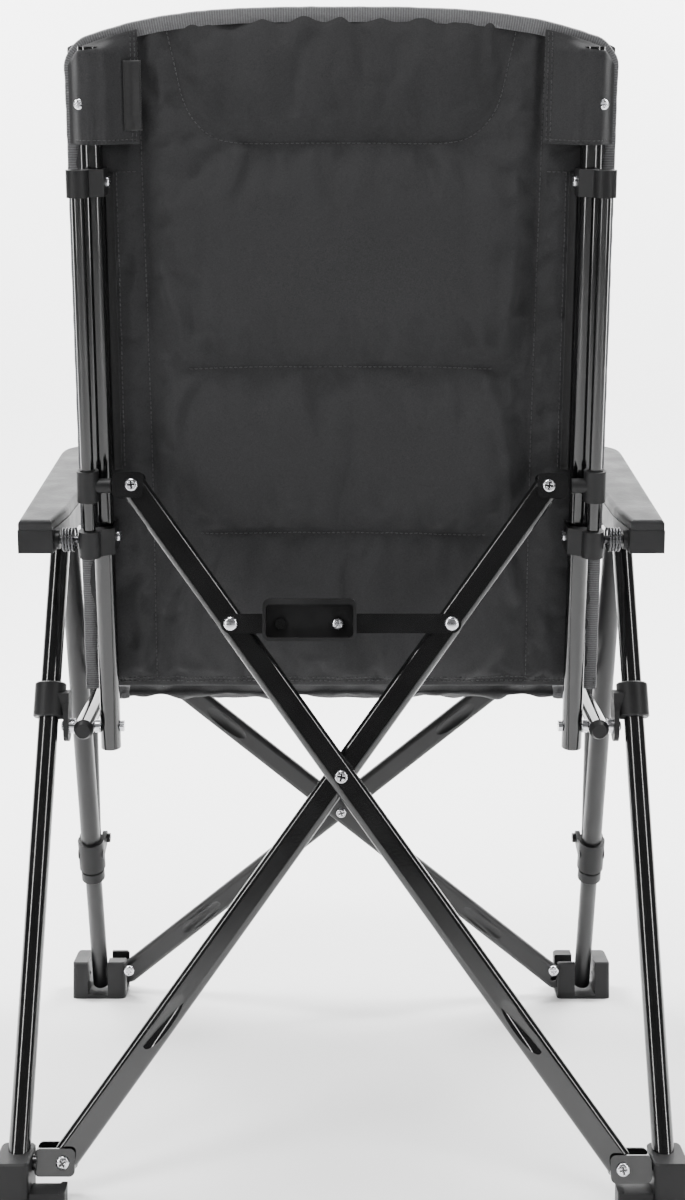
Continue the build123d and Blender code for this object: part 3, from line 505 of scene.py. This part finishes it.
def surface_of(obj, origin_of, way):
    """A function that drops (u, v) onto the outside of a panel along way."""
    tree = BVHTree.FromPolygons([v.co.copy() for v in obj.data.vertices],
                                [tuple(p.vertices) for p in obj.data.polygons])

    def drop(u, v, lift=0.0):
        start = origin_of(u, v)
        hit = tree.ray_cast(start, -way)[0]
        return (hit or start - way * 0.06) + way * lift
    return drop


on_back = surface_of(back, lambda u, v: back_at(u, v, 0.06), post_back)
on_front = surface_of(back, lambda u, v: back_at(u, v, -0.10), -post_back)
on_seat = surface_of(seat, lambda u, v: seat_at(u, v, 0.10), rail_up)

STITCH, STITCH_GAP, THREAD_R = 0.0034, 0.0014, 0.00045
# along a stitch: share of its length, share of the thread's radius, lift off the cloth
STITCH_SHAPE = ((0, 0.25, -0.0003), (0.25, 1, 0.00025), (0.75, 1, 0.00025), (1, 0.25, -0.0003))


def stitches(name, runs, normal):
    """Thread along 3-D lines: one short spindle a stitch, sunk a little at both ends."""
    verts, faces = [], []
    for run in runs:
        run = [Vector(p) for p in run]
        lengths = [0.0]
        for a, b in zip(run, run[1:]):
            lengths.append(lengths[-1] + (b - a).length)

        def at_length(s):
            i = max(0, min(len(run) - 2, int(np.searchsorted(lengths, s)) - 1))
            t = (s - lengths[i]) / max(lengths[i + 1] - lengths[i], 1e-9)
            return run[i].lerp(run[i + 1], min(1.0, t))
        s = 0.0
        while s + STITCH < lengths[-1]:
            ends = at_length(s), at_length(s + STITCH)
            way = (ends[1] - ends[0]).normalized()
            side = way.cross(normal).normalized()
            up = side.cross(way)
            first = len(verts)
            for t, r, lift in STITCH_SHAPE:
                middle = ends[0].lerp(ends[1], t) + normal * lift
                verts += [middle + (side * cos(k * tau / 5) + up * sin(k * tau / 5)) * THREAD_R * r
                          for k in range(5)]
            faces += grid_faces(4, 5, first, wrap=True)
            faces += [tuple(first + k for k in range(4, -1, -1)), tuple(first + 15 + k for k in range(5))]
            s += STITCH + STITCH_GAP
    obj = piece(name, verts, faces, thread_mat, None)
    return obj


def offset_line(line, gap):
    """A 2-D polyline moved sideways by gap."""
    run = np.gradient(line, axis=0)
    run /= np.linalg.norm(run, axis=1)[:, None]
    return line + np.stack((-run[:, 1], run[:, 0]), 1) * gap


soft_pieces = {"back_left": [back], "seat_rail_left": [seat]}
pillow, lumbar, side_l, side_r, hem, low_lumbar = back_lines
rear_runs, front_runs = [], []
for line, gaps in ((pillow, (0.0028,)), (lumbar, (0.0025,)), (low_lumbar, (0.0025,)),
                   (side_l, (0.0025,)), (side_r, (-0.0025,)), (hem, (-0.002, -0.006))):
    for gap in gaps:
        moved = offset_line(line, gap)
        rear_runs.append([on_back(u, v, 0.0002) for u, v in moved])
        front_runs.append([on_front(u, v, 0.0002) for u, v in moved])
soft_pieces["back_left"] += [stitches("back_rear_stitching", rear_runs, post_back),
                             stitches("back_front_stitching", front_runs, -post_back)]
soft_pieces["seat_rail_left"] += [
    stitches("seat_top_stitching", [[on_seat(u, v, 0.0002) for u, v in offset_line(line, 0.0025)]
                                    for line in seat_lines], rail_up)]


# ---- binding round the panels' edges -------------------------------------------------
def binding(name, path, outward, across, wide, thick):
    """A folded tape over an edge. path is 3-D, outward points out of the panel there."""
    shape = []
    for k in range(15):
        angle = pi * (k / 14 - 0.5)
        shape.append((cos(angle) * 0.0022, sin(angle) * thick / 2))
    shape = [(-wide, -thick / 2 + 0.0008), (-wide * 0.5, -thick / 2 - 0.0002)] + shape \
        + [(-wide * 0.5, thick / 2 + 0.0002), (-wide, thick / 2 - 0.0008)]
    verts, uvs = [], []
    s = 0.0
    for i, p in enumerate(path):
        if i:
            s += (p - path[i - 1]).length
        ripple = 0.0004 * noise.noise(p * 90)
        run = 0.0
        for j, (out, up) in enumerate(shape):
            verts.append(p + outward[i] * (out + ripple) + across * (up * (1 + 0.05 * noise.noise(p * 60))))
            if j:
                run += Vector((out - shape[j - 1][0], up - shape[j - 1][1])).length
            uvs.append((s, run))
    n = len(shape)
    faces = grid_faces(len(path), n, flip=True, wrap=True)
    faces += [tuple(range(n)), tuple(range(len(verts) - 1, len(verts) - n - 1, -1))]
    return piece(name, verts, faces, binding_mat, None, uvs=uvs)


def edge_path(at, corners, step=0.004, middle=0.0):
    """3-D points and outward directions along a rim given by 2-D points, walked anticlockwise."""
    flat = smooth_line(corners, step)
    path = [at(p.x, p.y, middle) for p in flat]
    outward = []
    for i, p in enumerate(flat):
        a, b = flat[max(0, i - 1)], flat[min(len(flat) - 1, i + 1)]
        run = (b - a).normalized()
        outward.append((at(p.x + run.y, p.y - run.x, middle) - at(p.x, p.y, middle)).normalized())
    return path, outward


half = BACK_HALF - 0.004
rim = [(half, v) for v in (BACK_LOW + 0.004, 0.25, 0.45, 0.59, 0.63, back_top(half) - 0.018)]
rim += [(half - 0.006, back_top(half) - 0.006)]
rim += [(half * f, back_top(half * f) - 0.004) for f in (0.94, 0.90, 0.85, 0.7, 0.5, 0.25, 0.0)]
rim = rim + [(-u, v) for u, v in reversed(rim[:-1])]
path, outward = edge_path(back_at, rim, middle=-BACK_THICK / 2)
soft_pieces["back_left"].append(binding("back_binding", path, outward, post_back, 0.012, 0.0155))

s_half = SEAT_HALF - 0.003
front_rim = [(s_half, SEAT_REAR + 0.004), (s_half, 0.2), (s_half, SEAT_FRONT - 0.012),
             (s_half - 0.010, SEAT_FRONT - 0.003), (0.1, SEAT_FRONT - 0.003)]
front_rim = front_rim + [(0.0, SEAT_FRONT - 0.003)] + [(-u, v) for u, v in reversed(front_rim)]
path, outward = edge_path(seat_at, front_rim, middle=SEAT_THICK / 2)
soft_pieces["seat_rail_left"].append(binding("seat_binding", path, outward, rail_up, 0.010, 0.013))


# ---- pockets over the post tops, sleeve strips, label ---------------------------------
def shell(name, mat, columns, rows, surface, thick, normal):
    """A closed sheet: surface(s, t) for s, t in 0 to 1 gives its outside, thick goes inwards."""
    outer = [surface(j / (columns - 1), i / (rows - 1)) for i in range(rows) for j in range(columns)]
    inner = [p - normal * thick for p in outer]
    verts = outer + inner
    n = rows * columns
    faces = grid_faces(rows, columns) + grid_faces(rows, columns, n, flip=True)
    ring = [j for j in range(columns)] + [i * columns + columns - 1 for i in range(1, rows)] \
        + [(rows - 1) * columns + j for j in range(columns - 2, -1, -1)] \
        + [i * columns for i in range(rows - 2, 0, -1)]
    for a, b in zip(ring, ring[1:] + ring[:1]):
        faces.append((b, a, a + n, b + n))
    width = sum((outer[j + 1] - outer[j]).length for j in range(columns - 1))
    mid = columns // 2
    length = sum((outer[(i + 1) * columns + mid] - outer[i * columns + mid]).length for i in range(rows - 1))
    obj = piece(name, verts, faces, mat, None)
    width, length = max(width, 0.0101), max(length, 0.0101)
    return obj


POCKET_IN, POCKET_OUT, POCKET_LOW = 0.187, 0.251, 0.574
POST_END = 0.662


def pocket_top(u):
    """The top of a pocket keeps below the tape round the back's corner."""
    return back_top(u) - 0.010 - 0.012 * max(0.0, (u - 0.236) / 0.015) ** 2


def pocket_height(u, v):
    """Rearward height of a pocket's outside, over the post and down to the panel at its rim."""
    top = pocket_top(u)
    over = 0.0232
    cross = min(1.0, max(0.0, (POCKET_OUT - u) / 0.016)) if u > POST_X else \
        min(1.0, max(0.0, (u - POCKET_IN) / 0.034))
    cross = cross * cross * (3 - 2 * cross)
    above = min(1.0, max(0.0, (top - v) / max(top - POST_END + 0.004, 0.004)))
    above = above * above * (3 - 2 * above)
    fold = 0.0011 * sin(u * 420 + 2 * noise.noise(Vector((u * 30, v * 30, 2)))) * cross
    return 0.0012 + (over - 0.0012) * cross * above + fold * above \
        + 0.0008 * noise.noise(Vector((u * 70, v * 50, 5)))


back_extra = []
for side, way in (("left", 1), ("right", -1)):
    def pocket_surface(s, t, way=way):
        u = POCKET_IN + (POCKET_OUT - POCKET_IN) * s
        v = POCKET_LOW + (pocket_top(u) - POCKET_LOW) * t
        return back_at(way * u, v, pocket_height(u, v))
    back_extra.append(shell(f"corner_pocket_{side}", pocket_cloth, 33, 49, pocket_surface, 0.0011, post_back))
    runs = []
    for u in (POCKET_IN + 0.0025, POCKET_IN + 0.006):
        runs.append([back_at(way * u, v, pocket_height(u, v) + 0.0002)
                     for v in np.arange(POCKET_LOW + 0.002, 0.676, 0.004)])
    runs.append([back_at(way * u, POCKET_LOW + 0.004, pocket_height(u, POCKET_LOW + 0.004) + 0.0002)
                 for u in np.arange(POCKET_IN + 0.002, POCKET_OUT - 0.004, 0.003)])
    back_extra.append(stitches(f"pocket_stitching_{side}", runs, post_back))

    # black strip of the sleeve that runs down beside the post
    def strip_surface(s, t, way=way):
        u = 0.2122 + 0.0072 * s
        v = 0.262 + (0.548 - 0.262) * t
        return back_at(way * u, v, 0.0016 + 0.0045 * s ** 2 + 0.0004 * noise.noise(Vector((0, v * 60, way))))
    back_extra.append(shell(f"post_sleeve_{side}", sleeve_cloth, 7, 60, strip_surface, 0.0009, post_back))
    patch = [(0.192, 0.548), (0.2105, 0.548)]
    back_extra.append(stitches(f"sleeve_stitching_{side}",
                               [[on_back(way * p.x, p.y, 0.0003) for p in smooth_line(run, 0.003)]
                                for run in (patch, [(0.2095, 0.548), (0.2095, 0.262)])], post_back))

LABEL_MID, LABEL_W, LABEL_LOW, LABEL_HIGH = 0.1915, 0.0155, 0.586, 0.650


def label_surface(s, t):
    u = LABEL_MID + LABEL_W * (s - 0.5)
    v = LABEL_LOW + (LABEL_HIGH - LABEL_LOW) * t
    lift = 0.0035 + 0.004 * sin(pi * t) * (1 - s) + 0.0006 * sin(t * 9)
    return back_at(u, v, max(lift, pocket_height(max(u, POCKET_IN), v) + 0.0018) + 0.0008)


back_extra.append(shell("blank_label", label_satin, 9, 31, label_surface, 0.0007, post_back))
soft_pieces["back_left"] += back_extra


# ---- cross-recess screw heads --------------------------------------------------------
def screw_head(name, centre, outward, radius, height, body, turn=0.3, recess=True):
    """A domed head with a cross recess, standing on centre and pointing outward."""
    outward = Vector(outward).normalized()
    x_dir = outward.orthogonal().normalized()
    y_dir = outward.cross(x_dir)
    x_dir, y_dir = x_dir * cos(turn) + y_dir * sin(turn), y_dir * cos(turn) - x_dir * sin(turn)
    rings, spokes = 16, 48
    arm, wide, deep = radius * 0.56, radius * 0.13, height * 0.55
    verts = []
    for i in range(rings + 1):
        r = radius * (1 - i / rings) if i else radius
        for k in range(spokes):
            a = tau * k / spokes
            x, y = r * cos(a), r * sin(a)
            h = height * (0.28 + 0.72 * sqrt(max(0.0, 1 - (r / radius) ** 2)))
            if recess:
                cut = max(min(arm - abs(x), wide - abs(y)), min(arm - abs(y), wide - abs(x)))
                h -= deep * min(1.0, max(0.0, cut / (wide * 0.7) + 0.35))
            verts.append(centre + x_dir * x + y_dir * y + outward * h)
    base = [centre + x_dir * radius * cos(tau * k / spokes) + y_dir * radius * sin(tau * k / spokes)
            - outward * 0.0002 for k in range(spokes)]
    verts = base + verts
    faces = grid_faces(rings + 1, spokes, wrap=True)
    faces.append(tuple(range(spokes - 1, -1, -1)))
    last = len(verts) - spokes
    faces.append(tuple(range(last, len(verts))))
    return piece(name, verts, faces, zinc, body)


HEAD_R, HEAD_H = 0.0060, 0.0032
LAYER, CHEEK, FOOT_CHEEK, OUTER = 0.008, 0.0096, 0.0103, 0.015
rear_arm, rear_high, rear_angle = 0.424, 0.3325, radians(36.3)
front_arm, front_angle = 0.326, radians(51.3)
rear_back = Vector((0, cos(REAR_LEAN), sin(REAR_LEAN)))
front_back = Vector((0, cos(FRONT_LEAN), sin(FRONT_LEAN)))


def rear_pair(x, y, w):
    return pair_at(REAR_FOOT, REAR_LEAN, x, y, w)


rear_top = (rear_arm + rear_high) * cos(rear_angle)
for side, way in (("left", 1), ("right", -1)):
    foot_w, top_w = FOOT_CHEEK - way * LAYER, CHEEK + way * LAYER
    tube = {"left": ("rear_x_a", "rear_x_b"), "right": ("rear_x_b", "rear_x_a")}[side]
    screw_head(f"screw_rear_foot_{side}", rear_pair(way * rear_arm * sin(rear_angle), 0, foot_w), rear_back,
               HEAD_R, HEAD_H, f"foot_bracket_{side}", 0.4 + way)
    screw_head(f"screw_slider_{side}", rear_pair(way * rear_high * sin(rear_angle), rear_top, top_w),
               rear_back, HEAD_R, HEAD_H, tube[0], 0.9 * way)
    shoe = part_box(f"front_foot_{side}")
    screw_head(f"screw_front_shoe_{side}", Vector((way * 0.2537, shoe[1][1] - 0.0001, 0.0335)), (0, 1, 0),
               HEAD_R, HEAD_H, f"front_foot_{side}", 0.7 * way)
    pocket_u, pocket_v = 0.2385, 0.6105
    screw_head(f"screw_pocket_{side}",
               back_at(way * pocket_u, pocket_v, pocket_height(pocket_u, pocket_v) - 0.0002),
                       post_back, 0.0050, 0.0026, f"back_{side}", 0.5 * way)
screw_head("screw_rear_crossing", rear_pair(0, rear_arm * cos(rear_angle), OUTER), rear_back, HEAD_R, HEAD_H,
           "rear_x_b", 0.6)
screw_head("screw_front_crossing",
           pair_at(FRONT_FOOT, FRONT_LEAN, 0, front_arm * cos(front_angle), OUTER), front_back,
           HEAD_R, HEAD_H, "front_x_b", 1.1)

LOCK_ALONG, LINK_W = 0.173, {"left": 0.0248, "right": 0.0210}
lock_y = (rear_arm + LOCK_ALONG) * cos(rear_angle)
for side, way in (("left", 1), ("right", -1)):
    screw_head(f"rivet_lock_{side}",
               rear_pair(way * LOCK_ALONG * sin(rear_angle), lock_y, LINK_W[side] - 0.0022), rear_back,
               0.0065, 0.0036, f"lock_{side}", recess=False)
screw_head("screw_lock_handle", rear_pair(0.003, lock_y, 0.0285), rear_back, 0.0054, 0.0028, "lock_left", 0.2)

# soft pieces ride on the left side
for body, members in soft_pieces.items():
    for obj in members:
        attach(obj, body)
        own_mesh(obj)

# ---- floor, light, camera ------------------------------------------------------------
pale = shader("pale_paper", (0.93, 0.93, 0.93), 0.9)[0]
BEND = 0.7                           # the paper bends up into a wall on the -Y side
FLAT_END, WALL_HIGH = -1.6, 5.0
profile = [(6.0, 0.0), (FLAT_END, 0.0)]
profile += [(FLAT_END - BEND * sin(k * pi / 24), BEND * (1 - cos(k * pi / 24))) for k in range(1, 13)]
profile += [(FLAT_END - BEND, WALL_HIGH)]
floor = piece("studio_floor", [(x, y, z) for y, z in profile for x in (-6, 6)],
              grid_faces(len(profile), 2, flip=True), pale, None)
world = bpy.data.worlds.new("studio")
bpy.context.scene.world = world
world.use_nodes = True
world.node_tree.nodes["Background"].inputs["Color"].default_value = (1.0, 1.0, 1.0, 1)
world.node_tree.nodes["Background"].inputs["Strength"].default_value = 0.14


def softbox(name, place, aim, width, height, power):
    light = bpy.data.lights.new(name, "AREA")
    light.shape, light.size, light.size_y, light.energy = "RECTANGLE", width, height, power
    obj = bpy.data.objects.new(name, light)
    obj.location = place
    obj.rotation_euler = (Vector(aim) - Vector(place)).to_track_quat("-Z", "Y").to_euler()
    bpy.context.collection.objects.link(obj)


softbox("key_left", (1.9, 1.7, 1.3), (0, 0.1, 0.55), 0.22, 2.4, 34)
softbox("key_right", (-1.9, 1.7, 1.3), (0, 0.1, 0.55), 0.22, 2.4, 30)
softbox("overhead", (0.5, 1.1, 2.9), (0, 0, 0.7), 0.9, 0.6, 52)
softbox("wall_left", (1.5, -0.9, 2.6), (0.9, -2.3, 0.5), 1.2, 1.2, 210)
softbox("wall_right", (-1.5, -0.9, 2.6), (-0.9, -2.3, 0.5), 1.2, 1.2, 210)

CAMERA_Y, CAMERA_Z = 1.672, 0.736
FOCAL_PIXELS, LONG_SIDE, SENSOR = 1565.0, 1200, 36.0
camera = bpy.data.cameras.new("camera")
camera.sensor_width = SENSOR
camera.lens = FOCAL_PIXELS / LONG_SIDE * SENSOR
camera.shift_x, camera.shift_y = 0.001, -0.181
camera.clip_start = 0.05
viewer = bpy.data.objects.new("camera", camera)
viewer.location = (0, CAMERA_Y, CAMERA_Z)
viewer.rotation_euler = (pi / 2, 0, pi)
bpy.context.collection.objects.link(viewer)
bpy.context.scene.camera = viewer
